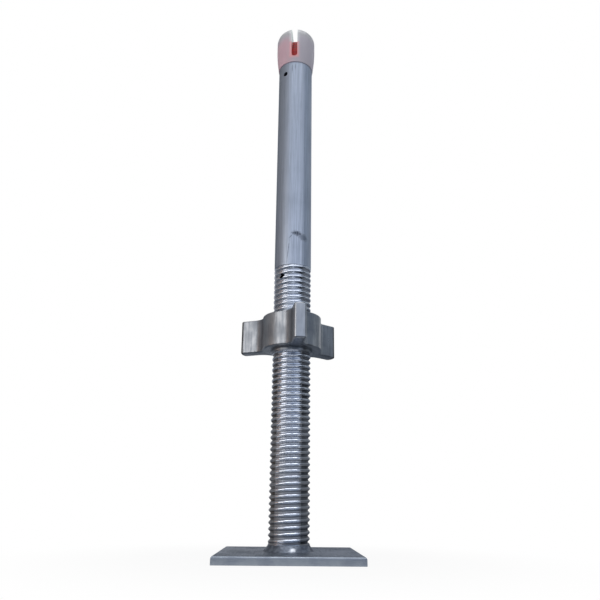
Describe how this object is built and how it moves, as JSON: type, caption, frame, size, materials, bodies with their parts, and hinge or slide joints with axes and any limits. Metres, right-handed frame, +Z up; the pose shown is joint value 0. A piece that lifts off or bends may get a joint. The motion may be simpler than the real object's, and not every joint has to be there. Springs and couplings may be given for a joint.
{
  "type": "scaffold base jack",
  "caption": "Adjustable scaffold foot: welded square plate, threaded tube, three-armed collar nut that climbs on the thread, and a slotted friction cap that holds in the leg tube.",
  "frame": {"origin": "middle of the foot plate's underside", "axes": "+Z up along the spindle, -Y towards the side that the cap's slot and the nut's front arm face, +X to the right of it"},
  "size_m": [0.14, 0.14, 0.6395],
  "materials": {
    "plate_metal": "sawn and dulled",
    "weld_metal": "rippled weld",
    "spindle_metal": "drawn tube, rolled thread",
    "cast_metal": "worn casting",
    "clear_plastic": "milky, translucent",
    "red_plastic": "moulded"
  },
  "bodies": {
    "jack": {"base_plate": "plate_metal", "weld_bead": "weld_metal", "spindle": "spindle_metal", "retaining_cap": "clear_plastic", "cap_core": "red_plastic"},
    "nut": {"collar_nut": "cast_metal"}
  },
  "joints": [
    {"name": "nut_rise", "type": "slide", "parent": "jack", "child": "nut", "axis": [0, 0, 1], "range_m": [-0.192, 0.06]}
  ]
}
